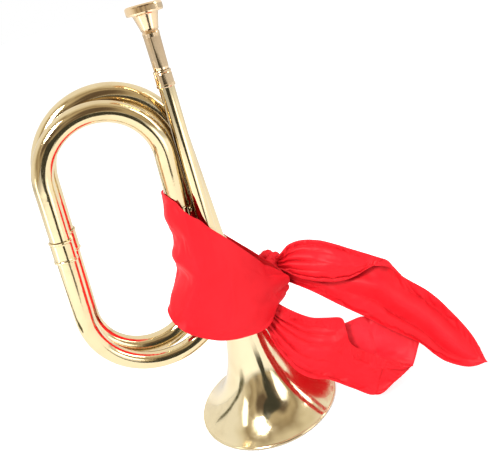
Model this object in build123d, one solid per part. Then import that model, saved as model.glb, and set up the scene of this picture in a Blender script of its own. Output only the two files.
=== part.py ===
from build123d import *
import bisect
import math
import os

# Bugle wound in two turns, with a scarf tied round the tubes above the bell.
# Origin: centre of the bell mouth, on the plane of the bell rim. +Z runs up the
# bell axis, the coils lie towards -X, the leadpipe runs in front of the bell
# tube on the -Y side. Left and right are as seen from -Y. Lengths are millimetres.

# ---- bell: r(z) = (rim radius - wire radius) * (1 + z / FLARE_LENGTH) ** -FLARE_POWER ----
BELL_RIM_R = 63.0            # outer edge of the rolled rim
FLARE_LENGTH = 27.5
FLARE_POWER = 0.90
BELL_TOP_Z = 160.0           # joint between bell and rear upper bow
BELL_WALL = 0.7
RIM_WIRE_R = 1.5             # radius of the rolled edge
RIM_FLAT = 0.25              # flattened under the rolled edge
RIM_GAP = 0.02               # between the rolled edge and the bell
FLARE_SECTIONS = 24
FLARE_SPACING_POWER = 1.9    # crowds the sections towards the mouth

# ---- leadpipe; depths run down its axis from the mouthpiece rim face ----
PIPE_TOP = (4.38, -16.97, 356.38)     # centre of the mouthpiece rim face
PIPE_FOOT_Y = -20.6          # the leadpipe leans this far forward at its foot
PIPE_R_TOP = 5.85
PIPE_R_FOOT = 6.1
PIPE_START = 46.0            # depth of the upper end of the leadpipe
BORE_R_TOP = 5.35            # tapered seat of the mouthpiece shank
BORE_R_SEAT = 5.12
BORE_R_FOOT = 5.35
BORE_R_THROAT = BORE_R_SEAT - 0.3     # step below the seat
SHANK_END = 68.0             # depth of the end of the mouthpiece shank
SEAT_END = SHANK_END + 0.9
SLIP = 0.04                  # radial clearance of the mouthpiece shank

# ---- bow centrelines: centre (x, z), radius ----
FRONT_LOWER = ((-61.8, 155.4), 54.9)
FRONT_UPPER = ((-60.2, 257.4), 43.9)
REAR_LOWER = ((-68.4, 151.0), 45.6)
REAR_UPPER = ((-50.6, 257.1), 50.6)
FRONT_Y = -20.8              # plane of the front coil, low
FRONT_TOP_Y = -19.5          # plane of the front coil, high
REAR_Y = 0.0                 # plane of the rear coil and the bell axis
FOOT_SETTLE = 20.0           # length over which the leadpipe's lean eases out
SETTLE = 30.0                # length over which the crossing eases into a coil plane

# ---- outside radii of the tubes at the joints ----
R_FRONT_LEFT = 7.3
R_FRONT_LIP = 8.05
R_CROSS_TOP = 7.3
R_CROSS_FOOT = 8.0
R_REAR_LEFT = 8.7
R_BELL_JOINT = 9.7
TUBE_WALL = 0.6

# ---- joints along the tubing ----
LEFT_JOINT_Z = 218.0         # ferrules on the left side of both coils
LIP_Z = 212.0                # lip at the end of the front upper bow
CROSS_FOOT_Z = 168.0         # ferrule between crossover tube and rear lower bow
SOCKET_LENGTH = 14.0         # how far the crossover tube enters the upper bow
SOCKET_END_GAP = 0.1
CROSS_TAPER_START = 2.0      # below the lip
FERRULE_LENGTH = 16.0
FERRULE_WALL = 0.7
FERRULE_MARGIN = 2.0         # cylindrical tube beyond the end of a ferrule
BOW_STUB = 10.0              # straight end of the front lower bow under its ferrule
FIT = 0.08                   # gap in a soldered fit
FERRULE_FIT = 0.14           # gap in a ferrule over a tube that still widens slightly
BUTT = 0.02                  # gap between two butted tube ends
RING_STEP = 7.0              # longest spacing of the loft sections of a tube

# ---- solder stays ----
STAY_FLANGE_R = 4.0
STAY_NECK_R = 2.0
STAY_SINK = 0.6              # spare length at each end, cut away by the saddle
STAY_FLARE = 0.9             # from the tube surface to the neck
STAY_BELL_GAP = 0.05         # extra radius of the saddle on the bell tube
STAY_CROSS_R = R_CROSS_FOOT - 0.1     # crossover tube radius taken at the stay
SADDLE_LENGTH = 60.0
STAY_LEFT_UPPER_Z = 236.0
STAY_LEFT_LOWER_Z = 202.0
STAY_PIPE_Z = 207.0
STAY_CROSS_Z = 204.0

# ---- scarf wrap ----
WRAP_THICKNESS = 1.6
WRAP_HOLLOW_BOTTOM = 60.0    # z, below the whole wrap
WRAP_HOLLOW_TOP = 260.0      # z, above the whole wrap
# outline seen from -Y as (x, z): left edge upwards, top, right end, bottom
WRAP_LEFT = [
    (-57.0, 121.0), (-60.0, 127.0), (-58.5, 132.0), (-52.5, 139.0), (-45.0, 147.0),
    (-39.0, 158.0), (-39.5, 176.0), (-35.5, 188.0), (-35.0, 204.0), (-31.8, 217.0),
    (-29.5, 228.0)]
WRAP_TOP = [(-15.0, 206.0), (-5.0, 194.0), (6.0, 178.0), (20.0, 156.0), (28.0, 141.5)]
WRAP_RIGHT = [(40.0, 127.0), (48.0, 114.0), (49.0, 104.5), (44.5, 98.0)]
WRAP_BOTTOM = [
    (30.0, 95.0), (14.0, 88.5), (2.0, 90.8), (-7.5, 93.0), (-19.5, 96.5), (-33.0, 102.5),
    (-46.5, 112.0)]
# outer and inner outline seen from above as (x, y)
WRAP_PLAN = [
    (-62.0, -31.5), (8.0, -31.5), (51.0, -13.0), (51.0, -5.0), (20.0, 20.0), (-62.0, 20.0)]
WRAP_PLAN_INNER = [
    (-64.0, -29.9), (7.6, -29.9), (49.4, -11.9), (49.4, -5.8), (19.4, 18.4), (-64.0, 18.4)]

# ---- scarf knot and hanging ends ----
KNOT_CENTRE = (46.5, 14.5, 128.0)
KNOT_RADII = (9.0, 7.5, 9.0)
TAIL_THICKNESS = 1.6
# each tail lies in a plane of its own; its outline is in that plane's x and y
UPPER_TAIL_PLANE = Plane(
    origin=(52.35, 4.13, 121.13),
    x_dir=(0.58482, -0.57223, -0.57493),
    z_dir=(0.12676, 0.76453, -0.632))
UPPER_TAIL = [
    (2.5, -8.0), (2.0, -16.5), (6.2, -25.6), (19.7, -32.4), (46.6, -37.7), (79.4, -42.7),
    (97.2, -36.1), (125.4, -33.4), (148.0, -25.9), (171.6, -14.4), (188.4, -0.1),
    (177.2, 10.5), (160.0, 15.1), (133.4, 10.9), (84.4, 11.3), (60.6, 11.9),
    (36.1, 11.6), (19.2, 10.7), (8.8, 6.3)]
LOWER_TAIL_PLANE = Plane(
    origin=(29.51, -8.46, 98.52),
    x_dir=(0.73063, -0.46827, -0.49689),
    z_dir=(0.20336, 0.84398, -0.49633))
LOWER_TAIL = [
    (6.0, 4.0), (17.0, 3.3), (34.9, 4.9), (61.8, -1.9), (64.7, 2.0), (81.1, -8.4),
    (130.6, -0.1), (129.1, 20.1), (107.3, 52.4), (65.4, 50.7), (50.3, 54.1),
    (22.6, 43.5), (5.0, 25.5), (5.0, 12.0)]


# ---- plane geometry, points as (x, z) ----
def unit_and_length(start, end):
    dx, dz = end[0] - start[0], end[1] - start[1]
    length = math.hypot(dx, dz)
    return dx / length, dz / length, length


def outer_tangent(bow1, bow2):
    """Ends of the outer tangent of two bows, to the left of the way from bow1 to bow2."""
    (centre1, r1), (centre2, r2) = bow1, bow2
    ux, uz, length = unit_and_length(centre1, centre2)
    along = (r1 - r2) / length
    across = math.sqrt(1 - along * along)
    nx, nz = along * ux - across * uz, along * uz + across * ux
    return ((centre1[0] + r1 * nx, centre1[1] + r1 * nz),
            (centre2[0] + r2 * nx, centre2[1] + r2 * nz))


def touch_point(point, bow):
    """Where the line from the point touches the bow, on its +x side."""
    centre, r = bow
    ux, uz, length = unit_and_length(centre, point)
    along = r / length
    across = math.sqrt(1 - along * along)
    return max((centre[0] + r * (along * ux - side * across * uz),
                centre[1] + r * (along * uz + side * across * ux)) for side in (1, -1))


def line_points(start, end, step=1.0):
    n = max(2, int(math.dist(start, end) / step))
    return [(start[0] + (end[0] - start[0]) * i / n, start[1] + (end[1] - start[1]) * i / n)
            for i in range(n + 1)]


def arc_points(bow, start, end, step=0.5):
    """Clockwise arc (x right, z up) along the bow."""
    (cx, cz), r = bow
    angle0 = math.atan2(start[1] - cz, start[0] - cx)
    angle1 = math.atan2(end[1] - cz, end[0] - cx)
    while angle1 >= angle0:
        angle1 -= 2 * math.pi
    n = max(4, int((angle0 - angle1) * r / step))
    angles = [angle0 + (angle1 - angle0) * i / n for i in range(n + 1)]
    return [(cx + r * math.cos(angle), cz + r * math.sin(angle)) for angle in angles]


# ---- leadpipe axis ----
foot = touch_point((PIPE_TOP[0], PIPE_TOP[2]), FRONT_LOWER)
PIPE_FOOT = (foot[0], PIPE_FOOT_Y, foot[1])
PIPE_LENGTH = math.dist(PIPE_TOP, PIPE_FOOT) - BOW_STUB
pipe_top = Vector(*PIPE_TOP)
pipe_down = (Vector(*PIPE_FOOT) - pipe_top).normalized()
pipe_end = pipe_top + pipe_down * PIPE_LENGTH

# ---- tubing centreline, from the leadpipe's end to the bell joint ----
front_left_low, front_left_high = outer_tangent(FRONT_LOWER, FRONT_UPPER)
crossing_high, crossing_low = outer_tangent(FRONT_UPPER, REAR_LOWER)
rear_left_low, rear_left_high = outer_tangent(REAR_LOWER, REAR_UPPER)
stem_top = (0.0, REAR_UPPER[0][1])

legs = [
    line_points((pipe_end.X, pipe_end.Z), foot),
    arc_points(FRONT_LOWER, foot, front_left_low),
    line_points(front_left_low, front_left_high),
    arc_points(FRONT_UPPER, front_left_high, crossing_high),
    line_points(crossing_high, crossing_low),
    arc_points(REAR_LOWER, crossing_low, rear_left_low),
    line_points(rear_left_low, rear_left_high),
    arc_points(REAR_UPPER, rear_left_high, stem_top),
    line_points(stem_top, (0.0, BELL_TOP_Z))]
LEFT_FRONT, CROSSING, LEFT_REAR = 2, 4, 6      # indices of straight legs

path = [legs[0][0]]          # (x, z) points
path_s = [0.0]               # developed length at each point
leg_s = [0.0]                # developed length at the ends of the legs
for leg in legs:
    for point in leg[1:]:
        path_s.append(path_s[-1] + math.dist(path[-1], point))
        path.append(point)
    leg_s.append(path_s[-1])
TOTAL_S = path_s[-1]

cross_start, cross_end = leg_s[CROSSING], leg_s[CROSSING + 1]
rise = (REAR_Y - FRONT_TOP_Y) / (cross_end - cross_start + SETTLE)
lean = (PIPE_FOOT_Y - pipe_end.Y) / leg_s[1]
# (developed length, y, slope of y)
Y_STATIONS = [
    (0.0, pipe_end.Y, lean),
    (leg_s[1], PIPE_FOOT_Y, lean),
    (leg_s[1] + FOOT_SETTLE, FRONT_Y, 0.0),
    (leg_s[LEFT_FRONT], FRONT_Y, 0.0),
    (leg_s[LEFT_FRONT + 1], FRONT_TOP_Y, 0.0),
    (cross_start - SETTLE, FRONT_TOP_Y, 0.0),
    (cross_start, FRONT_TOP_Y + rise * SETTLE / 2, rise),
    (cross_end, REAR_Y - rise * SETTLE / 2, rise),
    (cross_end + SETTLE, REAR_Y, 0.0),
    (TOTAL_S, REAR_Y, 0.0)]


def y_at(s):
    """Cubic Hermite value between the stations either side of s."""
    for (s0, y0, slope0), (s1, y1, slope1) in zip(Y_STATIONS, Y_STATIONS[1:]):
        if s <= s1:
            break
    h = s1 - s0
    t = (s - s0) / h
    return ((2 * t ** 3 - 3 * t ** 2 + 1) * y0 + (t ** 3 - 2 * t ** 2 + t) * h * slope0
            + (-2 * t ** 3 + 3 * t ** 2) * y1 + (t ** 3 - t ** 2) * h * slope1)


def at(s):
    """Point of the tubing centreline at developed length s."""
    s = min(max(s, 0.0), TOTAL_S)
    i = max(bisect.bisect_left(path_s, s), 1)
    t = (s - path_s[i - 1]) / (path_s[i] - path_s[i - 1])
    (x0, z0), (x1, z1) = path[i - 1], path[i]
    return (x0 + (x1 - x0) * t, y_at(s), z0 + (z1 - z0) * t)


def s_at_z(leg, z):
    """Developed length where the straight leg passes height z."""
    start_z, end_z = legs[leg][0][1], legs[leg][-1][1]
    t = (z - start_z) / (end_z - start_z)
    return leg_s[leg] + t * (leg_s[leg + 1] - leg_s[leg])


def direction(s, reach=0.75):
    return (Vector(*at(s + reach)) - Vector(*at(s - reach))).normalized()


def frame_at(s):
    along = direction(s)
    return Plane(origin=at(s), x_dir=Vector(0, 1, 0) - along * along.Y, z_dir=along)


front_left_s = s_at_z(LEFT_FRONT, LEFT_JOINT_Z)
lip_s = s_at_z(CROSSING, LIP_Z)
socket_s = lip_s - SOCKET_LENGTH
cross_foot_s = s_at_z(CROSSING, CROSS_FOOT_Z)
rear_left_s = s_at_z(LEFT_REAR, LEFT_JOINT_Z)
socket_depth = math.dist(at(socket_s), at(lip_s))
lip_plane = frame_at(lip_s)
pipe_plane = Plane(origin=pipe_top, x_dir=(0, 1, 0), z_dir=pipe_down)
pipe_end_plane = Plane(origin=pipe_end, x_dir=(0, 1, 0), z_dir=pipe_down)
bell_joint_plane = Plane(origin=(0, 0, BELL_TOP_Z), x_dir=(0, 1, 0), z_dir=(0, 0, -1))


# ---- solids shared by several pieces ----
def filled(points):
    return make_face(Polyline(*points, close=True))


def turned(profile, plane):
    """Solid of revolution; profile holds (radius, distance along the plane's normal)."""
    return plane.location * revolve(Plane.XZ * filled(profile), Axis.Z)


def rod(s0, s1, r0, r1):
    """Solid round rod along the centreline, tapering evenly from r0 to r1."""
    n = max(2, math.ceil((s1 - s0) / RING_STEP))
    rings = []
    for i in range(n + 1):
        ring = frame_at(s0 + (s1 - s0) * i / n) * Circle(r0 + (r1 - r0) * i / n)
        rings.append(ring.wire())
    return Solid.make_loft(rings, False)


def tube(s0, s1, r0, r1):
    return rod(s0, s1, r0, r1) - rod(s0, s1, r0 - TUBE_WALL, r1 - TUBE_WALL)


def ferrule(plane, tube_r):
    """Sleeve over a butt joint: a plain band with a raised bead at each end."""
    half = FERRULE_LENGTH / 2
    inner_r = tube_r + FERRULE_FIT
    band_r = inner_r + FERRULE_WALL
    # (height above the band, distance from the end)
    bead = [(0.2, 0.0), (0.5, 0.3), (0.5, 1.3), (0.1, 1.8), (0.0, 2.6)]
    return turned(
        [(inner_r, -half)]
        + [(band_r + height, -half + inset) for height, inset in bead]
        + [(band_r + height, half - inset) for height, inset in reversed(bead)]
        + [(inner_r, half)], plane)


# ---- bell and rolled rim ----
def flare_radius(z):
    return (BELL_RIM_R - RIM_WIRE_R) * (1 + z / FLARE_LENGTH) ** -FLARE_POWER


def bell():
    edge_z = 2 * RIM_WIRE_R - RIM_FLAT + RIM_GAP
    stem_z = BELL_TOP_Z - FERRULE_LENGTH / 2 - FERRULE_MARGIN
    # the flare is scaled progressively so that it meets the stem radius
    stem_scale = R_BELL_JOINT / flare_radius(stem_z - edge_z)
    outer = []
    for i in range(FLARE_SECTIONS + 1):
        z = edge_z + (stem_z - edge_z) * (i / FLARE_SECTIONS) ** FLARE_SPACING_POWER
        r = flare_radius(z - edge_z) * (1 + (stem_scale - 1) * (z / stem_z) ** 2)
        outer.append((r, z))
    # wall thickness is measured square to the flare
    inner = []
    for i, (r, z) in enumerate(outer[:-1]):
        before, after = outer[max(0, i - 1)], outer[i + 1]
        dr, dz = after[0] - before[0], after[1] - before[1]
        inner.append((r - BELL_WALL * math.hypot(dr, dz) / dz, z))
    inner.append((outer[-1][0] - BELL_WALL, outer[-1][1]))
    with BuildPart() as part:
        with BuildSketch(Plane.XZ):
            with BuildLine():
                outside = Spline(*outer)
                inside = Spline(*inner[::-1])
                Polyline(outside @ 1, (R_BELL_JOINT, BELL_TOP_Z - BUTT),
                         (R_BELL_JOINT - BELL_WALL, BELL_TOP_Z - BUTT), inside @ 0)
                Line(inside @ 1, outside @ 0)
            make_face()
        revolve(axis=Axis.Z)
    return part.part


def bell_rim_wire():
    centre_r = BELL_RIM_R - RIM_WIRE_R
    cut_depth = 10.0
    with BuildPart() as part:
        with BuildSketch(Plane.XZ):
            with Locations((centre_r, RIM_WIRE_R - RIM_FLAT)):
                Circle(RIM_WIRE_R)
            with Locations((centre_r, -cut_depth / 2)):
                Rectangle(4 * RIM_WIRE_R, cut_depth, mode=Mode.SUBTRACT)
        revolve(axis=Axis.Z)
    return part.part


# ---- leadpipe, receiver, mouthpiece: profiles as (radius, depth) ----
def leadpipe():
    return turned([
        (BORE_R_TOP, PIPE_START), (PIPE_R_TOP, PIPE_START), (PIPE_R_TOP + 0.02, 80.0),
        (PIPE_R_FOOT, PIPE_LENGTH - 12.0), (PIPE_R_FOOT, PIPE_LENGTH - BUTT),
        (BORE_R_FOOT, PIPE_LENGTH - BUTT), (BORE_R_THROAT, SHANK_END + 6.0),
        (BORE_R_THROAT, SHANK_END + 1.0), (BORE_R_SEAT, SEAT_END)], pipe_plane)


def mouthpiece_receiver():
    inner_r = PIPE_R_TOP + FIT
    return turned([
        (inner_r, 45.0), (6.35, 45.0), (6.6, 45.4), (6.6, 46.4), (6.25, 46.8), (6.5, 47.4),
        (6.6, 54.6), (6.95, 55.0), (6.95, 56.3), (6.6, 56.8), (inner_r, 56.8)], pipe_plane)


def shank_point(depth):
    """Profile point of the shank, which follows the tapered seat."""
    t = (depth - PIPE_START) / (SEAT_END - PIPE_START)
    return (BORE_R_TOP - SLIP + (BORE_R_SEAT - BORE_R_TOP) * t, depth)


def mouthpiece():
    outside = [
        (10.9, 0.0), (12.3, 0.35), (13.0, 1.1), (13.2, 2.0), (13.2, 5.2), (12.9, 6.1),
        (12.2, 6.5), (9.5, 6.6), (9.05, 7.1), (8.3, 9.6), (7.5, 12.4), (6.9, 14.6),
        (6.45, 16.4), (6.35, 17.3), (5.75, 17.8), (5.75, 18.4), (6.15, 18.9), (6.2, 19.6),
        (6.0, 22.0), (5.85, 32.0), (5.7, 43.0), (5.45, 44.6)]
    bore_and_cup = [
        (4.35, SHANK_END), (2.1, 24.0), (1.85, 19.0), (2.1, 16.4), (4.6, 13.6), (6.9, 9.2),
        (7.8, 5.0), (8.15, 2.2), (8.7, 0.8), (9.6, 0.15)]
    shank = [shank_point(45.2), shank_point(SHANK_END)]
    return turned(outside + shank + bore_and_cup, pipe_plane)


# ---- coils ----
def front_upper_bow():
    """Slips over the crossover tube and ends in a lip."""
    bow = rod(front_left_s, lip_s, R_FRONT_LEFT, R_FRONT_LIP) - rod(
        front_left_s, socket_s, R_FRONT_LEFT - TUBE_WALL, R_CROSS_TOP - TUBE_WALL)
    r = R_FRONT_LIP
    bow += turned([
        (r - 0.4, -1.5), (r + 0.3, -1.5), (r + 0.5, -1.2),
        (r + 0.5, -0.3), (r + 0.3, 0.0), (r - 0.4, 0.0)], lip_plane)
    socket_r = R_CROSS_TOP + FIT
    bow -= turned([
        (0, -socket_depth), (socket_r, -socket_depth), (socket_r, 1.0), (0, 1.0)], lip_plane)
    return bow


def crossover_tube():
    length = math.dist(at(lip_s), at(cross_foot_s))
    outside = [
        (R_CROSS_TOP, SOCKET_END_GAP - socket_depth),
        (R_CROSS_TOP, CROSS_TAPER_START),
        (R_CROSS_FOOT, length - FERRULE_LENGTH / 2 - FERRULE_MARGIN),
        (R_CROSS_FOOT, length - BUTT)]
    inside = [(r - TUBE_WALL, depth) for r, depth in reversed(outside)]
    return turned(outside + inside, lip_plane)


# ---- solder stays: a spool between two tubes, saddled to both ----
def stay(tube1, tube2):
    """Each tube is given as (point on its axis, direction, outside radius)."""
    (point1, _, r1), (point2, _, r2) = tube1, tube2
    start, end = Vector(*point1), Vector(*point2)
    length = (end - start).length
    low = math.sqrt(r1 * r1 - STAY_FLANGE_R ** 2) - STAY_SINK
    high = length - math.sqrt(r2 * r2 - STAY_FLANGE_R ** 2) + STAY_SINK
    flange_edge = STAY_FLARE * 0.3
    spool = turned([
        (0, low), (STAY_FLANGE_R, low),
        (STAY_FLANGE_R, r1 + flange_edge), (STAY_NECK_R, r1 + STAY_FLARE),
        (STAY_NECK_R, length - r2 - STAY_FLARE), (STAY_FLANGE_R, length - r2 - flange_edge),
        (STAY_FLANGE_R, high), (0, high)], Plane(origin=start, z_dir=(end - start).normalized()))
    for centre, along, r in (tube1, tube2):
        saddle = Cylinder(r + FIT, SADDLE_LENGTH)
        spool -= Plane(origin=centre, z_dir=along).location * saddle
    return spool


def taper(s, s0, s1, r0, r1):
    return r0 + (r1 - r0) * (s - s0) / (s1 - s0)


def front_radius(s):
    if s < front_left_s:
        return taper(s, 0.0, front_left_s, PIPE_R_FOOT, R_FRONT_LEFT)
    return taper(s, front_left_s, lip_s, R_FRONT_LEFT, R_FRONT_LIP)


def rear_radius(s):
    if s < rear_left_s:
        return taper(s, cross_foot_s, rear_left_s, R_CROSS_FOOT, R_REAR_LEFT)
    return taper(s, rear_left_s, TOTAL_S, R_REAR_LEFT, R_BELL_JOINT)


def left_stay(z):
    front_s, rear_s = s_at_z(LEFT_FRONT, z), s_at_z(LEFT_REAR, z)
    return stay((at(front_s), direction(front_s), front_radius(front_s)),
                (at(rear_s), direction(rear_s), rear_radius(rear_s)))


def bell_tube_at(z):
    r = rear_radius(TOTAL_S - (z - BELL_TOP_Z)) + STAY_BELL_GAP
    return ((0, 0, z), Vector(0, 0, 1), r)


def stay_leadpipe_bell():
    on_pipe = pipe_top + pipe_down * ((STAY_PIPE_Z - pipe_top.Z) / pipe_down.Z)
    return stay((on_pipe, pipe_down, PIPE_R_FOOT), bell_tube_at(STAY_PIPE_Z))


def stay_crossover_bell():
    s = s_at_z(CROSSING, STAY_CROSS_Z)
    return stay((at(s), direction(s), STAY_CROSS_R), bell_tube_at(STAY_CROSS_Z))


# ---- scarf: a sleeve of cloth, a knot and two hanging ends ----
def wrap_block(front_outline, plan_outline):
    """What an outline seen from -Y and one seen from above have in common."""
    from_front = extrude(Plane.XZ * filled(front_outline), 80, both=True)
    return from_front & extrude(Plane.XY * filled(plan_outline), WRAP_HOLLOW_TOP)


def scarf_wrap():
    """Walled at the sides, open above and below."""
    left = [(x + WRAP_THICKNESS, z) for x, z in WRAP_LEFT]
    right = [(x - WRAP_THICKNESS, z) for x, z in WRAP_RIGHT]
    hollow = [
        *left[:-1], (left[-1][0], WRAP_HOLLOW_TOP),
        (right[0][0], WRAP_HOLLOW_TOP), *right,
        (right[-1][0], WRAP_HOLLOW_BOTTOM), (left[0][0], WRAP_HOLLOW_BOTTOM)]
    outer = wrap_block(WRAP_LEFT + WRAP_TOP + WRAP_RIGHT + WRAP_BOTTOM, WRAP_PLAN)
    return outer - wrap_block(hollow, WRAP_PLAN_INNER)


def scarf_knot():
    return Location(KNOT_CENTRE) * scale(Sphere(1.0), by=KNOT_RADII)


def scarf_tail(plane, outline):
    return extrude(plane * filled(outline), TAIL_THICKNESS / 2, both=True)


parts = {
    "bell": bell(),
    "bell_rim_wire": bell_rim_wire(),
    "bell_ferrule": ferrule(bell_joint_plane, R_BELL_JOINT),
    "rear_upper_bow": tube(rear_left_s, TOTAL_S, R_REAR_LEFT, R_BELL_JOINT),
    "rear_left_ferrule": ferrule(frame_at(rear_left_s), R_REAR_LEFT),
    "rear_lower_bow": tube(cross_foot_s, rear_left_s, R_CROSS_FOOT, R_REAR_LEFT),
    "crossover_ferrule": ferrule(frame_at(cross_foot_s), R_CROSS_FOOT),
    "crossover_tube": crossover_tube(),
    "front_upper_bow": front_upper_bow(),
    "front_left_ferrule": ferrule(frame_at(front_left_s), R_FRONT_LEFT),
    "front_lower_bow": tube(0.0, front_left_s, PIPE_R_FOOT, R_FRONT_LEFT),
    "leadpipe_ferrule": ferrule(pipe_end_plane, PIPE_R_FOOT),
    "leadpipe": leadpipe(),
    "mouthpiece_receiver": mouthpiece_receiver(),
    "mouthpiece": mouthpiece(),
    "stay_left_upper": left_stay(STAY_LEFT_UPPER_Z),
    "stay_left_lower": left_stay(STAY_LEFT_LOWER_Z),
    "stay_leadpipe_bell": stay_leadpipe_bell(),
    "stay_crossover_bell": stay_crossover_bell(),
    "scarf_wrap": scarf_wrap(),
    "scarf_knot": scarf_knot(),
    "scarf_upper_tail": scarf_tail(UPPER_TAIL_PLANE, UPPER_TAIL),
    "scarf_lower_tail": scarf_tail(LOWER_TAIL_PLANE, LOWER_TAIL),
}

os.makedirs("parts", exist_ok=True)
for name, shape in parts.items():
    export_step(shape, f"parts/{name}.step")
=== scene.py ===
"""A bugle with a red satin scarf wrapped round its tubes and knotted at the right.

+Z is up and the bell's axis lies on Z. The viewer stands at -Y, above and a little
to the left (-X), so -Y is the front, +Y the back and +X the right. The floor lies just
under z = 0. Cloth points are in mm and become metres when a mesh is made.
"""
import math

import bpy
from mathutils import Matrix, Vector, noise
from mathutils.bvhtree import BVHTree


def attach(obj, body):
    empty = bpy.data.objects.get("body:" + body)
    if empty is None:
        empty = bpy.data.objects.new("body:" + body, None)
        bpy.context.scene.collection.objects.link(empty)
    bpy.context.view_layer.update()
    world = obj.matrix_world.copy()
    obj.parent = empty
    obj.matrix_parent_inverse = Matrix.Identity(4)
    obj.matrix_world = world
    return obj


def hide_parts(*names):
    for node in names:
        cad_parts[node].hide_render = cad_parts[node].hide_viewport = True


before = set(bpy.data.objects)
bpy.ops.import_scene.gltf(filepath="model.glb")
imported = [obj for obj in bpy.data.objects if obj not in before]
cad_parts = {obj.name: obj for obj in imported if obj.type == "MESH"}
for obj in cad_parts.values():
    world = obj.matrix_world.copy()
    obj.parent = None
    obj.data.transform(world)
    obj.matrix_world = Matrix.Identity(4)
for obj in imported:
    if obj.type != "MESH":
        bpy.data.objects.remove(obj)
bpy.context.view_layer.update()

MM = 0.001
SCENE = bpy.context.scene
TOWARDS = Vector((-0.2436, -0.8891, 0.3875))  # from the bugle towards the viewer

CLOTH_THICKNESS = 0.45 * MM
CLOTH_GAP = 0.6 * MM      # least height of the cloth over the brass
HUG_GAP = 0.7 * MM        # height of cloth that is drawn tight over a tube
HUG_REACH = 10 * MM
BRASS_REACH = 12 * MM     # how far from a cloth point brass is looked for
MAX_SINK = 0.4 * MM       # how far a settling wrap may move inwards


# ------------------------------------------------------------------ node helpers
def add(tree, kind, inputs=None, **settings):
    """A shader node; each input is given a value or is linked to a socket."""
    made = tree.nodes.new("ShaderNode" + kind)
    for key, value in settings.items():
        setattr(made, key, value)
    for key, value in (inputs or {}).items():
        if isinstance(value, bpy.types.NodeSocket):
            tree.links.new(value, made.inputs[key])
        else:
            made.inputs[key].default_value = value
    return made


def empty_tree(owner, output):
    """The owner's emptied node tree, and the first socket of its new output node."""
    owner.use_nodes = True
    tree = owner.node_tree
    tree.nodes.clear()
    return tree, add(tree, output).inputs[0]


def new_material(name):
    material = bpy.data.materials.new(name)
    return (material, *empty_tree(material, "OutputMaterial"))


def shade(tree, surface, kind, inputs):
    tree.links.new(add(tree, kind, inputs).outputs[0], surface)


def coords(tree, **mapping):
    """Object coordinates through a mapping node."""
    place = add(tree, "TexCoord").outputs["Object"]
    return add(tree, "Mapping", {"Vector": place, **mapping}).outputs[0]


def noise_tex(tree, place, scale, detail, rough=0.5, distort=0.0):
    return add(tree, "TexNoise", {"Vector": place, "Scale": scale, "Detail": detail,
                                  "Roughness": rough, "Distortion": distort}).outputs["Fac"]


def ramp(tree, factor, stops):
    made = add(tree, "ValToRGB", {0: factor})
    elements = made.color_ramp.elements
    while len(elements) < len(stops):
        elements.new(0.5)
    for element, (position, colour) in zip(elements, stops):
        element.position = position
        element.color = (*colour, 1)
    return made.outputs[0]


def remap(tree, value, span, to):
    """Map the range span onto the range to, clamped."""
    return add(tree, "MapRange", {0: value, 1: span[0], 2: span[1],
                                  3: to[0], 4: to[1]}).outputs[0]


def calc(tree, operation, first, second):
    return add(tree, "Math", {0: first, 1: second}, operation=operation).outputs[0]


def mix(tree, factor, first, second):
    """Mix two colours; inputs 6 and 7 are the node's colour sockets."""
    first, second = ((*c, 1) if isinstance(c, tuple) else c for c in (first, second))
    return add(tree, "Mix", {0: factor, 6: first, 7: second}, data_type="RGBA").outputs[2]


def bump(tree, height, strength, distance, below=None):
    inputs = {"Height": height, "Strength": strength, "Distance": distance}
    if below is not None:
        inputs["Normal"] = below
    return add(tree, "Bump", inputs).outputs[0]


def pointiness(tree):
    return add(tree, "NewGeometry").outputs["Pointiness"]


def openness(tree, distance):
    """Ambient occlusion: low in gaps, 1 in the open."""
    return add(tree, "AmbientOcclusion", {"Distance": distance}, samples=8).outputs["AO"]


# ------------------------------------------------------------------ materials
def brass(name, base, dark, rough, dent=0.00036):
    """Polished, lacquered brass: faint tarnish, hairline polish marks, handling smears, and painted
    shade darkening the tight gaps between tubes.
    """
    material, tree, surface = new_material(name)
    place = coords(tree)
    tarnish = noise_tex(tree, place, scale=38.0, detail=5.0, rough=0.6, distort=0.4)
    smear = noise_tex(tree, coords(tree, Scale=(1, 1, 0.35)),
                      scale=95.0, detail=4.0, rough=0.6, distort=1.2)

    worn = remap(tree, pointiness(tree), span=(0.49, 0.56), to=(0.0, 1.0))
    polished = tuple(min(1.0, c * 1.12 + 0.03) for c in base)
    colour = mix(tree, remap(tree, tarnish, span=(0.5, 0.78), to=(0.0, 0.55)), base, dark)
    colour = mix(tree, calc(tree, "MULTIPLY", worn, 0.35), colour, polished)
    # painted shade: ambient occlusion darkens the tight gaps between tubes to brown
    gaps = remap(tree, openness(tree, distance=0.012), span=(0.25, 0.8), to=(0.85, 0.0))
    painted_shade_brown = (0.20, 0.12, 0.05)
    colour = mix(tree, gaps, colour, painted_shade_brown)

    smeared = remap(tree, smear, span=(0.35, 0.75), to=(rough, rough + 0.09))
    tarnished = remap(tree, tarnish, span=(0.5, 0.8), to=(0.0, 0.05))
    wave = noise_tex(tree, place, scale=28.0, detail=2.0, rough=0.4)
    hair = noise_tex(tree, coords(tree, Scale=(1, 1, 0.06)), scale=1400.0, detail=2.0, rough=0.6)
    low = bump(tree, wave, strength=0.5, distance=dent)
    shade(tree, surface, "BsdfPrincipled", {
        "Base Color": colour,
        "Metallic": 1.0,
        "Roughness": calc(tree, "ADD", smeared, tarnished),
        "Coat Weight": 0.08,
        "Coat Roughness": 0.05,
        "Normal": bump(tree, hair, strength=0.05, distance=0.00004, below=low),
    })
    return material


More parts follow.
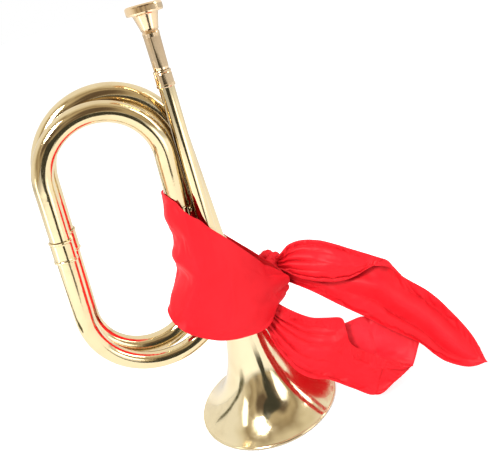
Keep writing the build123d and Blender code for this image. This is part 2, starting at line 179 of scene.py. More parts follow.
def satin(name, base, deep):
    """Thin satin: fine weave, soft sheen, painted shade making the red deeper where the cloth folds
    in and in gaps.
    """
    material, tree, surface = new_material(name)
    place = coords(tree)
    patch = noise_tex(tree, place, scale=24.0, detail=3.0, rough=0.55)
    # painted shade: concave folds (low pointiness) and occluded gaps are mixed towards the deep red
    fold = remap(tree, pointiness(tree), span=(0.42, 0.5), to=(1.0, 0.0))
    shadow = remap(tree, openness(tree, distance=0.010), span=(0.35, 0.95), to=(0.9, 0.0))
    colour = mix(tree, remap(tree, patch, span=(0.3, 0.7), to=(0.0, 0.5)), base, deep)
    colour = mix(tree, calc(tree, "MULTIPLY", fold, 0.6), colour, deep)
    colour = mix(tree, shadow, colour, tuple(c * 0.62 for c in deep))

    # weave: two crossed thread waves
    waves = [add(tree, "TexWave", {"Vector": coords(tree, Rotation=(0.6, 0.3, 0.2 + turn)),
                                   "Scale": 900.0, "Distortion": 0.6}).outputs["Fac"]
             for turn in (0.0, math.pi / 2)]
    weave = calc(tree, "MULTIPLY", *waves)
    crinkle = noise_tex(tree, place, scale=130.0, detail=4.0, rough=0.6)
    low = bump(tree, crinkle, strength=0.25, distance=0.0006)
    shade(tree, surface, "BsdfPrincipled", {
        "Base Color": colour,
        "Roughness": remap(tree, patch, span=(0.3, 0.7), to=(0.44, 0.56)),
        "Specular IOR Level": 0.22,
        "Sheen Weight": 0.10,
        "Sheen Roughness": 0.35,
        "Sheen Tint": (1.0, 0.2, 0.2, 1),
        "Normal": bump(tree, weave, strength=0.12, distance=0.00015, below=low),
    })
    return material


BRASS_TUBE = brass("brass_tube", base=(0.85, 0.70, 0.42), dark=(0.66, 0.48, 0.25), rough=0.07)
BRASS_BELL = brass("brass_bell", base=(0.86, 0.74, 0.48), dark=(0.70, 0.55, 0.31), rough=0.08)
BRASS_RIM = brass("brass_rim", base=(0.86, 0.73, 0.47), dark=(0.62, 0.46, 0.24), rough=0.12)
BRASS_MOUTH = brass("brass_mouthpiece", base=(0.90, 0.68, 0.43), dark=(0.70, 0.46, 0.27),
                    rough=0.10, dent=0.00012)
RED = satin("red_satin", base=(0.92, 0.010, 0.021), deep=(0.66, 0.002, 0.008))
# painted light: a paler copy of the satin stands in for light shining through the single layer
RED_PAINTED_BACKLIT = satin("red_satin_painted_backlight", base=(0.95, 0.022, 0.040), deep=(0.78, 0.006, 0.014))

LOOK = {"bell": BRASS_BELL, "bell_rim_wire": BRASS_RIM, "mouthpiece": BRASS_MOUTH,
        "mouthpiece_receiver": BRASS_MOUTH}
for name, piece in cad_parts.items():
    look = RED if name.startswith("scarf") else LOOK.get(name, BRASS_TUBE)
    if not piece.material_slots:
        piece.data.materials.append(look)
    for slot in piece.material_slots:
        slot.material = look


# ------------------------------------------------------------------ curves and folds
def spline(before, start, end, after, t):
    """Catmull-Rom point between start (t = 0) and end (t = 1)."""
    return 0.5 * ((2 * start) + (end - before) * t
                  + (2 * before - 5 * start + 4 * end - after) * t * t
                  + (3 * start - before - 3 * end + after) * t ** 3)


def even_curve(points, count):
    """count points evenly spaced by length on a smooth curve through points."""
    knots = [Vector(point) for point in points]
    knots = [knots[0] * 2 - knots[1]] + knots + [knots[-1] * 2 - knots[-2]]
    fine = [spline(*knots[i:i + 4], k / 16) for i in range(len(knots) - 3) for k in range(16)]
    fine.append(knots[-2])
    lengths = [0.0]
    for start, end in zip(fine, fine[1:]):
        lengths.append(lengths[-1] + (end - start).length)
    curve, j = [], 0
    for i in range(count):
        want = lengths[-1] * i / (count - 1)
        while j < len(fine) - 2 and lengths[j + 1] < want:
            j += 1
        span = max(1e-9, lengths[j + 1] - lengths[j])
        part = min(1.0, max(0.0, (want - lengths[j]) / span))
        curve.append(fine[j].lerp(fine[j + 1], part))
    return curve


def arch(x):
    """0 at both ends of 0..1 and 1 in the middle."""
    return math.sin(math.pi * x)


def ridge(x, mid, width):
    """A rounded ridge, 1 at mid."""
    return math.exp(-((x - mid) / width) ** 2)


def crease(x, mid, width):
    """A sharp valley or ridge line, as pressed satin shows."""
    return math.exp(-abs(x - mid) / width)


def smooth(start, end, x):
    """Goes from 0 at start to 1 at end; start may be the larger."""
    t = min(1.0, max(0.0, (x - start) / (end - start)))
    return t * t * (3 - 2 * t)


def crumple(place, size, amount, seed):
    spot = (place + Vector((seed * 37.1, seed * 11.7, seed * 5.3))) / size
    return amount * (noise.noise(spot) + 0.5 * noise.noise(spot * 2.1)
                     + 0.25 * noise.noise(spot * 4.3))


def folds(x, table):
    """Sum of fold profiles; each row is shape, middle, width, height in mm."""
    return sum(height * shape(x, mid, width) for shape, mid, width, height in table)


# ------------------------------------------------------------------ cloth on brass
def outer_skin():
    """Search tree over the outside faces of the brass, so cloth can be laid on it."""
    verts, polys = [], []
    for name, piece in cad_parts.items():
        if name.startswith("scarf") or name in ("mouthpiece", "mouthpiece_receiver",
                                                "bell_rim_wire"):
            continue
        places = [piece.matrix_world @ v.co for v in piece.data.vertices]
        faces = [tuple(poly.vertices) for poly in piece.data.polygons]
        own = BVHTree.FromPolygons(places, faces)
        base = len(verts)
        verts.extend(places)
        for face in faces:
            first, second, third = (places[k] for k in face[:3])
            normal = (second - first).cross(third - first)
            if normal.length < 1e-14:
                continue
            normal.normalize()
            middle = (first + second + third) / 3
            if name == "bell":
                # the bell's outside looks away from its axis or up
                radial = Vector((middle.x, middle.y, 0.0)).normalized()
                if normal.dot(radial) + normal.z <= 0:
                    continue
            elif own.ray_cast(middle + normal * 1e-5, normal, 0.018)[0] is not None:
                # another wall of the same tube lies ahead, so this face is inside it
                continue
            polys.append(tuple(base + k for k in face))
    return BVHTree.FromPolygons(verts, polys)


SKIN = outer_skin()


def neighbours(mesh):
    near = [[] for _ in mesh.vertices]
    for edge in mesh.edges:
        start, end = edge.vertices
        near[start].append(end)
        near[end].append(start)
    return near


def relax(mesh, near, indices, factor):
    """Draw points towards the mean of their neighbours, leaving open edges alone."""
    verts = mesh.vertices
    places = {}
    for i in indices:
        if len(near[i]) > 3:
            mean = sum((verts[k].co for k in near[i]), Vector((0, 0, 0))) / len(near[i])
            places[i] = verts[i].co.lerp(mean, factor)
    for i, place in places.items():
        verts[i].co = place


def lay_on_brass(mesh, rounds=3):
    """Push points in or too near the brass back out, easing their neighbours with them."""
    near = neighbours(mesh)
    for k in range(rounds):
        moved = set()
        for vert in mesh.vertices:
            spot, normal, _, _ = SKIN.find_nearest(vert.co, BRASS_REACH)
            if spot is not None and (vert.co - spot).dot(normal) < CLOTH_GAP:
                vert.co = spot + normal * CLOTH_GAP
                moved.add(vert.index)
        if k == rounds - 1 or not moved:
            break
        for _ in range(3):
            for i in list(moved):
                moved.update(near[i])
        relax(mesh, near, moved, 0.35)
    mesh.update()


def hug_brass(mesh, weights):
    """Draw weighted points onto nearby brass."""
    for vert, weight in zip(mesh.vertices, weights):
        if weight > 0.01:
            spot, normal, _, distance = SKIN.find_nearest(vert.co, HUG_REACH)
            if spot is not None:
                vert.co = vert.co.lerp(spot + normal * HUG_GAP,
                                       weight * smooth(HUG_REACH, 0.004, distance))


def settle(ob, pins, grow, cap, frames=16, outward=None):
    """Short cloth run: pinned at its edges, the sheet is cut too big and buckles into folds.

    grow is the share by which it is too big, cap the largest move in mm; outward gives
    the direction at each point in which the move is held between MAX_SINK in and cap out.
    """
    group = ob.vertex_groups.new(name="pin")
    for i, weight in enumerate(pins):
        if weight > 0:
            group.add([i], weight, "REPLACE")
    start = [v.co.copy() for v in ob.data.vertices]
    run = ob.modifiers.new("run", "CLOTH")
    cloth = run.settings
    cloth.quality = 6
    cloth.mass = 0.12
    cloth.tension_stiffness = cloth.compression_stiffness = 12
    cloth.shear_stiffness = 6
    cloth.bending_stiffness = 0.12
    cloth.air_damping = 4
    cloth.vertex_group_mass = "pin"
    cloth.shrink_min = -grow
    cloth.effector_weights.gravity = 0.25
    run.collision_settings.use_collision = False
    run.collision_settings.use_self_collision = False
    run.point_cache.frame_start = 1
    run.point_cache.frame_end = frames
    for i in range(1, frames + 1):
        SCENE.frame_set(i)
    graph = bpy.context.evaluated_depsgraph_get()
    done = [v.co.copy() for v in ob.evaluated_get(graph).data.vertices]
    ob.modifiers.remove(run)
    ob.vertex_groups.remove(group)
    SCENE.frame_set(1)
    limit = cap * MM
    for i, (old, new) in enumerate(zip(start, done)):
        move = new - old
        if outward is not None:
            rise = move.dot(outward[i])
            move += outward[i] * (min(max(rise, -MAX_SINK), limit) - rise)
        if move.length > limit:
            move *= limit / move.length
        ob.data.vertices[i].co = old + move
    ob.data.update()


def mesh_object(name, verts, faces, material):
    mesh = bpy.data.meshes.new(name)
    mesh.from_pydata(verts, [], faces)
    ob = bpy.data.objects.new(name, mesh)
    SCENE.collection.objects.link(ob)
    mesh.materials.append(material)
    return ob


def grid_object(name, rows, closed=False, nodes=(), run=None, even=0, material=RED, hug=None):
    """A cloth sheet from rows of points in mm; closed joins the last column to the first.

    run holds the arguments of settle, even is a count of smoothing rounds.
    """
    wide = len(rows[0])
    verts = [tuple(v * MM for v in place) for row in rows for place in row]
    faces = []
    for i in range(len(rows) - 1):
        for j in range(wide if closed else wide - 1):
            k = (j + 1) % wide
            faces.append((i * wide + j, i * wide + k, (i + 1) * wide + k, (i + 1) * wide + j))
    ob = mesh_object(name, verts, faces, material)
    mesh = ob.data
    mesh.polygons.foreach_set("use_smooth", [True] * len(faces))
    mesh.validate()
    mesh.update()
    if run:
        settle(ob, **run)
    if even:
        near = neighbours(mesh)
        for _ in range(even):
            relax(mesh, near, range(len(near)), 0.5)
        mesh.update()
    if hug:
        hug_brass(mesh, hug)
    lay_on_brass(mesh)
    solid = ob.modifiers.new("cloth", "SOLIDIFY")
    solid.thickness = CLOTH_THICKNESS
    solid.offset = 0.0
    soft = ob.modifiers.new("soft", "SUBSURF")
    soft.levels = soft.render_levels = 1
    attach(ob, "bugle")
    if nodes:
        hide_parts(*nodes)
    return ob


# ------------------------------------------------------------------ the wrap
# Columns run round the tubes, from the right end over the front to the left and back
# behind. Each is its points (x, y, z) from bottom to top, then how far its middle bulges.
FLAT = (0, 0, 0)
WRAP_COLUMNS = [
    ([(44.0, -8.0, 99.5), (47.8, -8.0, 103.9), (50.0, -8.0, 108.6), (48.6, -8.5, 114.5),
      (44.5, -9.5, 121.5)], FLAT),
    ([(38.5, -12.0, 97.0), (42.0, -12.5, 104.0), (43.0, -13.0, 115.0), (40.0, -13.0, 126.6)], FLAT),
    ([(31.0, -15.0, 95.5), (35.0, -17.5, 106.0), (35.0, -18.0, 121.0), (33.5, -16.5, 134.3)], FLAT),
    ([(25.0, -19.0, 91.5), (27.0, -21.5, 105.0), (28.0, -22.0, 125.0), (28.4, -20.0, 140.0)], FLAT),
    ([(16.5, -25.0, 87.6), (19.7, -25.0, 154.5)], (0, -2.0, 0)),
    ([(6.0, -29.5, 88.6), (6.2, -29.0, 176.0)], (0, -2.0, 0)),
    ([(-7.5, -32.0, 92.2), (-5.2, -31.0, 192.0)], (0, -1.2, 0)),
    ([(-18.5, -33.0, 95.9), (-12.0, -31.2, 201.5)], (0, 0.6, 0)),
    ([(-30.5, -33.0, 101.6), (-26.5, -31.8, 128.0), (-21.0, -30.5, 165.0),
      (-18.5, -29.8, 210.6)], FLAT),
    ([(-43.0, -31.6, 111.0), (-37.5, -30.5, 128.0), (-30.0, -29.5, 145.0), (-26.0, -29.0, 160.0),
      (-25.6, -28.8, 176.0), (-24.4, -28.6, 190.0), (-23.2, -28.6, 203.0),
      (-21.5, -28.4, 215.5)], FLAT),
    ([(-52.0, -29.0, 120.0), (-46.4, -25.6, 134.0), (-37.4, -23.6, 147.0), (-30.2, -23.0, 156.5),
      (-32.8, -22.6, 171.0), (-28.0, -22.2, 180.0), (-26.8, -22.2, 190.0), (-28.8, -22.0, 202.0),
      (-26.2, -22.4, 213.0), (-24.0, -22.5, 219.8)], FLAT),
    ([(-56.4, -18.0, 125.8), (-54.4, -13.6, 131.2), (-49.0, -11.8, 137.9), (-40.6, -12.6, 146.4),
      (-32.4, -13.4, 156.0), (-33.6, -13.4, 163.5), (-36.2, -13.4, 172.5), (-31.4, -13.4, 180.0),
      (-29.4, -13.4, 190.0), (-32.2, -13.4, 203.0), (-30.0, -12.4, 214.0), (-28.0, -11.4, 221.0),
      (-26.0, -10.5, 228.0)], FLAT),
    ([(-55.6, -2.0, 129.4), (-49.0, 1.6, 138.6), (-40.6, 1.6, 146.6), (-33.6, 1.2, 156.6),
      (-35.8, 0.8, 172.0), (-31.2, 0.6, 181.0), (-29.6, 0.6, 190.0), (-31.4, 0.2, 203.0),
      (-29.0, 0.0, 214.0), (-27.0, 0.0, 222.5)], FLAT),
    ([(-48.5, 13.0, 124.0), (-40.0, 13.5, 140.0), (-31.5, 12.5, 165.0), (-27.0, 11.0, 192.0),
      (-22.5, 9.5, 213.5)], FLAT),
    ([(-36.0, 18.0, 112.0), (-27.0, 17.0, 145.0), (-21.0, 15.0, 180.0), (-15.5, 14.0, 204.0)], FLAT),
    ([(-16.0, 20.5, 102.0), (-4.5, 15.0, 191.0)], (0, 0.5, 0)),
    ([(2.0, 21.5, 97.0), (6.5, 14.5, 174.0)], (0, 0.8, 0)),
    ([(17.0, 18.5, 94.5), (17.5, 11.5, 157.0)], (0, 1.0, 0)),
    ([(30.5, 10.5, 95.0), (30.5, 6.5, 141.0)], (1.5, 1.5, 0)),
    ([(40.0, 1.0, 98.0), (39.5, -1.0, 129.5)], (2.5, 2.0, 0)),
]
COARSE = 32        # steps up each measured column
FINE = 96          # steps up the finished cloth
WRAP_AROUND = 168  # points round the finished cloth

# folds by height share (0 bottom, 1 top), strongest near the knot
FAN_FOLDS = [(ridge, 0.62, 0.16, 1.5), (ridge, 0.36, 0.05, -1.6), (ridge, 0.2, 0.09, 0.9),
             (ridge, 0.8, 0.04, -0.8)]
# folds by angle about the knot, in radians, across the back
KNOT_X, KNOT_Z = 45.0, 115.0
PULL_FOLDS = [(ridge, 0.27, 0.07, 1.3), (crease, 0.15, 0.05, -1.9), (ridge, 0.60, 0.08, 1.5),
              (crease, 0.46, 0.055, -2.1), (ridge, 0.95, 0.09, 1.2), (crease, 0.80, 0.06, -1.8)]


def wrap_column(points, bulge):
    return [place + Vector(bulge) * arch(i / COARSE)
            for i, place in enumerate(even_curve(points, COARSE + 1))]


def wrap_grid():
    """The measured columns, splined round the tubes and then up them."""
    columns = [wrap_column(points, bulge) for points, bulge in WRAP_COLUMNS]
    count = len(columns)
    rings = []
    for ring in zip(*columns):
        rings.append([])
        for j in range(WRAP_AROUND):
            turn = j / WRAP_AROUND * count
            i = int(turn)
            rings[-1].append(spline(*(ring[(i + k) % count] for k in (-1, 0, 1, 2)), turn - i))
    grid = []
    for k in range(FINE + 1):
        rise = k / FINE * COARSE
        i = min(COARSE - 1, int(rise))
        near = (rings[max(0, i - 1)], rings[i], rings[i + 1], rings[min(COARSE, i + 2)])
        grid.append([spline(*places, rise - i) for places in zip(*near)])
    return grid


def wrap_outward(place):
    """Level direction away from the wrap's upright axis at x = 0, y = -6."""
    return Vector((place.x, place.y + 6.0, 0.0)).normalized()


def wrap_lift(height, place):
    """How far the cloth stands out at a height share, in mm."""
    gather = smooth(2.0, 44.0, place.x)
    fan = folds(height, FAN_FOLDS) * gather ** 1.3
    soft = 0.6 * math.sin(place.x * 0.11 + place.z * 0.035) * (1 - gather)
    lift = fan + soft + crumple(place, 30.0, 0.8, 1.0) + crumple(place, 9.0, 0.12, 2.0)
    reach = math.hypot(KNOT_X - place.x, place.z - KNOT_Z)
    pull = folds(math.atan2(place.z - KNOT_Z, KNOT_X - place.x), PULL_FOLDS)
    lift += (pull * smooth(5.0, 24.0, reach) * smooth(125.0, 60.0, reach)
             * smooth(1.0, 9.0, place.y))
    lift *= smooth(0.0, 0.06, height) * 0.8 + 0.2
    hem = 0.35 * ridge(min(height, 1 - height), 0.0, 0.012)
    return lift + hem


def build_wrap():
    grid = wrap_grid()
    pins, outward, hug = [], [], []
    for k, row in enumerate(grid):
        height = k / FINE
        edge = min(k, FINE - k)
        for j, base in enumerate(row):
            place = base + wrap_outward(base) * wrap_lift(height, base)
            row[j] = place
            # the upper edge is drawn tight over the front tube
            hug.append(0.85 * smooth(0.90, 1.0, height) * smooth(-6.0, -14.0, place.x)
                       * smooth(-14.0, -20.0, place.y))
            pins.append(1.0 if edge == 0 else max(0.0, 0.5 - 0.12 * edge))
            outward.append(wrap_outward(place))
    grid_object("scarf_wrap_cloth", grid, closed=True, nodes=("scarf_wrap",), even=3, hug=hug,
                run=dict(pins=pins, grow=0.004, cap=0.8, frames=10, outward=outward))


build_wrap()


# ------------------------------------------------------------------ the knot
def lump(name, centre, radii, turn, grooves, seed, nodes=()):
    """One turn of the knot: a rounded roll of cloth with pressed grooves running round it.

    turn is in radians about X, Y and Z; grooves are polar angles from the roll's own Z.
    """
    middle = Vector(centre)
    spin = (Matrix.Rotation(turn[0], 3, "X") @ Matrix.Rotation(turn[1], 3, "Y")
            @ Matrix.Rotation(turn[2], 3, "Z"))
    rows = []
    for i in range(49):
        polar = math.pi * i / 48
        row = []
        for j in range(72):
            around = 2 * math.pi * j / 72
            ray = Vector((math.sin(polar) * math.cos(around),
                          math.sin(polar) * math.sin(around), math.cos(polar)))
            swell = 1 + crumple(ray * 10, 9.0, 0.05, seed)
            for groove in grooves:
                wander = 0.16 * math.sin(around + groove * 3)
                swell -= 0.10 * crease(polar, groove + wander, 0.10)
                swell += 0.05 * ridge(polar, groove + 0.2 + wander, 0.14)
            row.append(middle + spin @ Vector([d * r * swell for d, r in zip(ray, radii)]))
        rows.append(row)
    grid_object(name, rows, closed=True, nodes=nodes)


lump("scarf_knot_core", centre=(40.5, 8.5, 117.5), radii=(8.0, 8.0, 11.0),
     turn=(0.1, 0.25, 0.3), grooves=(0.8, 1.25, 1.75, 2.2), seed=3.0, nodes=("scarf_knot",))
lump("scarf_knot_turn", centre=(44.5, 11.5, 123.0), radii=(7.0, 6.5, 10.5),
     turn=(0.3, 1.25, -0.4), grooves=(0.9, 1.3, 1.7, 2.15), seed=4.0)
lump("scarf_knot_loop", centre=(41.0, 14.0, 127.6), radii=(5.0, 4.6, 8.5),
     turn=(0.15, 1.1, 0.2), grooves=(1.0, 1.5, 2.0), seed=5.0)


# ------------------------------------------------------------------ hanging ends
# Each sheet lies between a top and a bottom edge, tables of (x, y, z). Its lift pushes
# it towards the viewer, in mm, from along (0 at the first points of the edges, 1 at the
# last), across (0 at the top edge, 1 at the bottom) and the place before the push.
def sheet(name, top, bottom, lift, steps, nodes=(), hem=True, grow=0.03, cap=4.0,
          material=RED, root=None):
    """Cloth between two edges, with steps points along and across.

    A root is a point inside the knot that the first stretch is drawn into.
    """
    count, wide = steps
    rows, pins = [], []
    for i, (upper, lower) in enumerate(zip(even_curve(top, count), even_curve(bottom, count))):
        along = i / (count - 1)
        row = []
        for j in range(wide):
            across = j / (wide - 1)
            place = upper.lerp(lower, across)
            push = lift(along, across, place)
            if root:
                place = Vector(root).lerp(place, 0.10 + 0.90 * smooth(0.0, 0.10, along))
                push *= smooth(0.02, 0.10, along)
            if hem:
                inset = min(across, 1 - across) * (upper - lower).length
                push += 0.35 * ridge(inset, 0.0, 1.1)
            row.append(place + TOWARDS * push)
            edge = min(j, wide - 1 - j)
            fixed = edge == 0 or i < 3 or i > count - 4
            pins.append(1.0 if fixed else max(0.0, 0.5 - 0.16 * edge))
        rows.append(row)
    grid_object(name, rows, nodes=nodes, run=dict(pins=pins, grow=grow, cap=cap),
                material=material)


UPPER_TOP = [
    (40.0, 17.6, 126.1), (51.3, 6.6, 127.2), (66.6, 0.2, 134.8), (83.4, -10.0, 132.8),
    (100.6, -24.3, 122.9), (116.4, -37.6, 111.6), (126.3, -44.1, 106.0), (130.9, -53.4, 92.7),
    (145.5, -68.6, 74.7), (154.0, -81.1, 56.5), (160.7, -94.8, 34.6), (161.6, -105.0, 14.3)]
UPPER_BOTTOM = [
    (37.0, 9.8, 110.3), (47.3, -0.4, 106.4), (54.0, -7.9, 102.3), (64.8, -18.2, 93.2),
    (78.8, -32.7, 79.2), (93.0, -46.7, 66.1), (107.0, -61.1, 52.4), (122.0, -74.7, 38.2),
    (127.8, -83.9, 28.4), (134.2, -91.3, 20.7), (147.6, -100.3, 13.7), (161.2, -104.8, 13.9)]


def lift_upper(along, across, place):
    # the stretch under the turned-over fold lies flat behind it
    under = 0.38 * smooth(0.06, 0.17, along) * smooth(0.50, 0.26, along)
    top = smooth(0.20, 0.0, across) * smooth(0.52, 0.42, along)
    push = (-1.0 * smooth(under + 0.05, under * 0.4, across) * smooth(0.02, 0.10, along)
            * smooth(0.52, 0.42, along))
    across = max(0.0, (across - under) / (1 - under))
    push += 3.0 * arch(across) * smooth(0.0, 0.3, along)
    push += (5.0 * ridge(across, 0.30 + 0.30 * along, 0.12) * smooth(0.25, 0.5, along)
             * smooth(1.0, 0.75, along))
    push -= (4.5 * crease(across, 0.56 + 0.20 * along, 0.09) * smooth(0.25, 0.5, along)
             * smooth(0.98, 0.8, along))
    push -= (2.4 * crease(across, 0.16 + 0.10 * along, 0.05) * smooth(0.55, 0.66, along)
             * smooth(0.92, 0.75, along))
    push += 1.8 * math.sin(across * 19.0 + 1.0) * smooth(0.45, 0.0, along) * (1 - top)
    return push + (crumple(place, 30.0, 1.8, 5.0) + crumple(place, 11.0, 0.35, 6.0)) * (1 - top)


sheet("scarf_upper_tail_cloth", UPPER_TOP, UPPER_BOTTOM, lift_upper, steps=(170, 64),
      nodes=("scarf_upper_tail",), root=(43.0, 9.5, 119.5))

FOLD_TOP = [
    (39.7, 14.6, 129.4), (47.3, 6.8, 126.6), (52.1, 4.3, 129.0), (61.2, 1.2, 135.5),
    (71.8, -4.3, 137.3), (83.8, -12.2, 134.4), (93.6, -20.6, 129.2), (102.2, -27.7, 123.3),
    (113.1, -37.2, 116.1), (124.4, -46.0, 108.1)]
FOLD_BOTTOM = [
    (36.3, 10.6, 118.1), (44.8, 2.1, 119.4), (50.3, -4.6, 115.3), (58.1, -13.0, 108.7),
    (66.5, -21.4, 105.0), (77.3, -29.1, 101.9), (87.3, -35.5, 101.2), (97.0, -39.8, 102.6),
    (108.0, -42.6, 105.8), (124.0, -45.8, 107.7)]
# creases running out of the knot: place across, width, depth in mm
FOLD_CREASES = [(0.12, 0.04, 3.0), (0.30, 0.05, 4.6), (0.50, 0.05, 5.2), (0.68, 0.045, 4.4),
                (0.85, 0.04, 3.0)]


def lift_fold(along, across, place):
    push = 9.0 * arch(across) ** 0.6 * smooth(0.0, 0.3, along) * smooth(1.0, 0.5, along)
    fade = smooth(0.0, 0.12, along) * smooth(0.75, 0.15, along)
    for mid, width, depth in FOLD_CREASES:
        line = mid + (mid - 0.5) * 0.15 * along + 0.03 * math.sin(5 * along + mid * 9)
        push -= depth * crease(across, line, width * (1 + 1.6 * along)) * fade
    push += (1.6 * ridge(across, 0.5 + 0.3 * (along - 0.5), 0.08) * smooth(0.4, 0.6, along)
             * smooth(0.95, 0.7, along))
    return push + crumple(place, 18.0, 1.2, 7.0) * smooth(0.0, 0.2, along)


sheet("scarf_upper_fold_cloth", FOLD_TOP, FOLD_BOTTOM, lift_fold, steps=(130, 72), hem=False,
      root=(43.5, 10.5, 123.0))

TURNED_TOP = [(112.8, -45.2, 107.9), (118.7, -45.3, 108.2), (124.6, -44.7, 107.8),
              (128.2, -48.1, 100.4), (130.6, -53.9, 93.1)]
TURNED_BOTTOM = [(112.8, -45.4, 107.4), (118.9, -46.8, 104.9), (124.6, -47.4, 100.8),
                 (127.7, -50.8, 96.2), (130.4, -54.3, 92.7)]
sheet("scarf_upper_turned_edge_cloth", TURNED_TOP, TURNED_BOTTOM,
      lambda along, across, place: 1.2 + 1.2 * arch(across) * arch(along),
      steps=(48, 16), grow=0.01, cap=0.8)

LOWER_TOP = [
    (25.5, -2.1, 108.1), (31.3, -10.4, 97.8), (38.8, -20.5, 89.7), (50.1, -30.8, 80.9),
    (61.0, -37.4, 77.8), (72.8, -44.3, 74.5), (71.5, -49.0, 64.0), (70.5, -52.4, 55.5),
    (76.0, -57.0, 47.2), (90.8, -67.1, 36.2), (108.8, -77.6, 23.3)]
LOWER_BOTTOM = [
    (8.6, -13.6, 89.0), (13.3, -21.7, 83.7), (14.1, -29.0, 70.1), (16.6, -34.4, 59.3),
    (21.8, -41.8, 45.5), (30.4, -48.1, 36.6), (43.4, -54.2, 30.6), (57.0, -63.6, 20.4),
    (73.1, -73.9, 9.3), (92.0, -76.0, 15.5), (108.6, -77.6, 22.9)]
# place across, width, depth in mm
LOWER_CREASES = [(0.14, 0.04, 3.4), (0.33, 0.05, 4.8), (0.52, 0.05, 4.4), (0.70, 0.045, 4.0),
                 (0.86, 0.04, 2.6)]


def lift_lower(along, across, place):
    push = 3.5 * arch(across) * smooth(0.0, 0.3, along) * smooth(1.0, 0.7, along)
    fade = smooth(0.0, 0.12, along) * smooth(0.8, 0.2, along)
    push += 2.5 * arch(across) * fade
    for mid, width, depth in LOWER_CREASES:
        line = mid + 0.06 * math.sin(3 * along + mid * 7)
        push -= depth * crease(across, line, width * (1 + 1.2 * along)) * fade
    push += 2.2 * smooth(0.12, 0.0, across) * smooth(0.5, 0.62, along) * smooth(1.0, 0.9, along)
    push -= 3.0 * crease(along, 0.86 - 0.1 * across, 0.03) * smooth(0.0, 0.3, across)
    push += 2.0 * ridge(across, 0.3, 0.07) * smooth(0.45, 0.7, along)
    return push + crumple(place, 24.0, 1.4, 8.0)


sheet("scarf_lower_tail_cloth", LOWER_TOP, LOWER_BOTTOM, lift_lower, steps=(140, 64),
      nodes=("scarf_lower_tail",))

BACK_TOP = [(65.1, -35.2, 69.9), (74.9, -40.7, 66.0), (93.4, -46.0, 65.6),
            (107.7, -57.0, 51.9), (124.2, -71.1, 35.0)]
BACK_BOTTOM = [(58.8, -44.9, 48.9), (67.1, -52.2, 39.9), (78.3, -60.0, 31.6),
               (93.1, -68.5, 24.0), (110.3, -75.8, 20.7)]


def lift_back(along, across, place):
    return (1.2 * arch(across) + crumple(place, 22.0, 1.5, 9.0) - 2.6 * smooth(1.0, 0.75, along)
            - 1.6 * crease(along, 0.42 + 0.2 * across, 0.05))


# painted light: the back sheet uses the paler satin copy for light shining through it
sheet("scarf_lower_back_cloth", BACK_TOP, BACK_BOTTOM, lift_back, steps=(80, 48),
      grow=0.01, cap=1.5, material=RED_PAINTED_BACKLIT)


# ------------------------------------------------------------------ stage
def floor_material():
    """Matt light grey that looks brighter to the camera than it lights the bugle."""
    material, tree, surface = new_material("floor")
    patches = noise_tex(tree, coords(tree), scale=3.0, detail=2.0)
    camera_ray = add(tree, "LightPath").outputs["Is Camera Ray"]
    shade(tree, surface, "BsdfPrincipled", {
        "Base Color": mix(tree, patches, (0.84, 0.84, 0.84), (0.87, 0.87, 0.87)),
        "Roughness": 0.9,
        "Specular IOR Level": 0.0,
        "Emission Color": (1, 1, 1, 1),
        "Emission Strength": calc(tree, "MULTIPLY", camera_ray, 0.55),
    })
    return material


FLOOR_HALF, FLOOR_Z = 40, -0.0005
mesh_object("floor", [(x * FLOOR_HALF, y * FLOOR_HALF, FLOOR_Z)
                               for x, y in ((-1, -1), (1, -1), (1, 1), (-1, 1))],
                     [(0, 1, 2, 3)], floor_material())


def card(name, colour, strength, outline):
    """A glowing card seen only in reflections, a painted reflection on the brass, fanned from its
    middle.
    """
    material, tree, surface = new_material(name)
    shade(tree, surface, "Emission", {0: (*colour, 1), 1: strength})
    count = len(outline)
    middle = tuple(sum(values) / count for values in zip(*outline))
    ob = mesh_object(name, [tuple(v * MM for v in place) for place in outline + [middle]],
                     [(i, (i + 1) % count, count) for i in range(count)], material)
    ob.visible_camera = ob.visible_diffuse = ob.visible_shadow = False
    ob.visible_transmission = ob.visible_volume_scatter = False


# name, colour, strength, outline (x, y, z) in mm
# painted reflections: a red patch, dark streaks and white highlights placed so the brass mirrors
# them towards the camera
PAINTED_REFLECTION_CARDS = [
    ("painted_reflection_red", (0.72, 0.004, 0.012), 1.0, [
        (128, -47, 35), (137, 2, 14), (120, 72, -15), (144, 72, 5), (153, 59, 42), (153, 41, 56),
        (144, 4, 76), (134, -20, 87), (132, -37, 88), (136, -56, 78), (136, -76, 57),
        (124, -95, 36), (114, -95, 28), (110, -91, 31)]),
    ("painted_reflection_dark", (0.055, 0.055, 0.045), 1.0, [
        (-45, -419, -35), (131, -402, -36), (83, -424, -21), (29, -444, 28), (53, -442, 94),
        (49, -417, 190), (80, -362, 274), (-114, -318, 312), (-168, -238, 350),
        (-211, -288, 291), (-201, -350, 225), (-112, -409, 183), (-116, -429, 103),
        (-54, -443, 40), (-70, -429, -15)]),
    ("painted_reflection_edge", (0.10, 0.10, 0.06), 1.0, [
        (-433, -52, -18), (-415, -159, 23), (-436, -89, 45), (-434, 94, 80), (-372, 227, 120),
        (-309, 286, 163), (-293, 300, 170), (-324, 290, 126), (-397, 198, 75), (-443, 36, 29)]),
    ("painted_highlight_right", (1, 1, 1), 2.5, [
        (186, -406, 46), (269, -355, 79), (281, -321, 169), (184, -347, 241), (115, -378, 239),
        (112, -419, 152)]),
    ("painted_highlight_left", (1, 1, 1), 2.5, [
        (-432, -93, 106), (-401, -157, 154), (-331, -68, 304), (-343, -24, 295),
        (-412, -32, 194)]),
]
for row in PAINTED_REFLECTION_CARDS:
    card(*row)


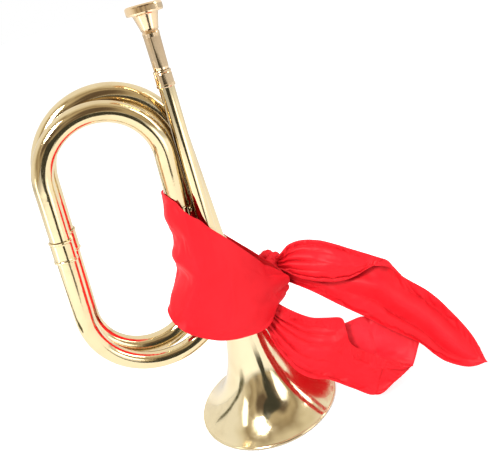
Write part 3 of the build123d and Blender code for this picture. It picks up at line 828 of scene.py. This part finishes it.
def build_world():
    """Reflections see a dim room on the viewer's side and a white sweep elsewhere."""
    world = bpy.data.worlds.new("studio")
    SCENE.world = world
    tree, surface = empty_tree(world, "OutputWorld")
    ray = add(tree, "TexCoord").outputs["Generated"]
    facing = add(tree, "VectorMath", {0: ray, 1: TOWARDS}, operation="DOT_PRODUCT")
    patches = noise_tex(tree, ray, scale=1.6, detail=2.0, rough=0.5)
    facing = calc(tree, "ADD", facing.outputs["Value"],
                  remap(tree, patches, span=(0.3, 0.7), to=(-0.22, 0.22)))
    room = ramp(tree, facing, [
        (0.08, (0.95, 0.93, 0.90)), (0.36, (0.76, 0.69, 0.56)), (0.58, (0.34, 0.27, 0.18)),
        (0.78, (0.56, 0.47, 0.33)), (0.97, (0.14, 0.10, 0.07))])
    # diffuse light is a plain grey that brightens upwards
    height = add(tree, "SeparateXYZ", {0: ray}).outputs["Z"]
    soft = ramp(tree, remap(tree, height, span=(-1.0, 1.0), to=(0.0, 1.0)), [
        (0.2, (0.26, 0.26, 0.26)), (0.55, (0.42, 0.42, 0.42)), (0.9, (0.80, 0.80, 0.80))])
    path = add(tree, "LightPath").outputs
    tone = mix(tree, path["Is Diffuse Ray"], room, soft)
    tone = mix(tree, path["Is Camera Ray"], tone, (1.0, 1.0, 1.0))
    shade(tree, surface, "Background", {0: tone, 1: 1.0})


build_world()

LIGHT_TARGET = Vector((0, 0, 0.15))


def area(name, place, size, power):
    light = bpy.data.lights.new(name, "AREA")
    light.shape = "RECTANGLE"
    light.size, light.size_y = size
    light.energy = power
    ob = bpy.data.objects.new(name, light)
    SCENE.collection.objects.link(ob)
    ob.location = place
    ob.rotation_euler = (LIGHT_TARGET - Vector(place)).to_track_quat("-Z", "Y").to_euler()


area("key", place=(-1.0, -0.8, 1.7), size=(0.5, 0.7), power=34)
area("fill", place=(1.4, -0.5, 0.8), size=(0.3, 1.0), power=5)

# ------------------------------------------------------------------ camera
CAMERA_PLACE = Vector((-0.0930, -0.4436, 0.3625))
CAMERA_AXES = Matrix(((0.88525, -0.36708, -0.28565),   # right
                      (0.39621, 0.27346, 0.87649),     # up
                      (-0.24363, -0.88909, 0.38752)))  # back, away from the bugle
lens = bpy.data.cameras.new("camera")
lens.sensor_width = 36.0
lens.lens = 44.378
lens.clip_start = 0.01
camera = bpy.data.objects.new("camera", lens)
SCENE.collection.objects.link(camera)
camera.matrix_world = Matrix.Translation(CAMERA_PLACE) @ CAMERA_AXES.transposed().to_4x4()
SCENE.camera = camera
SCENE.view_settings.view_transform = "Standard"
SCENE.view_settings.look = "None"
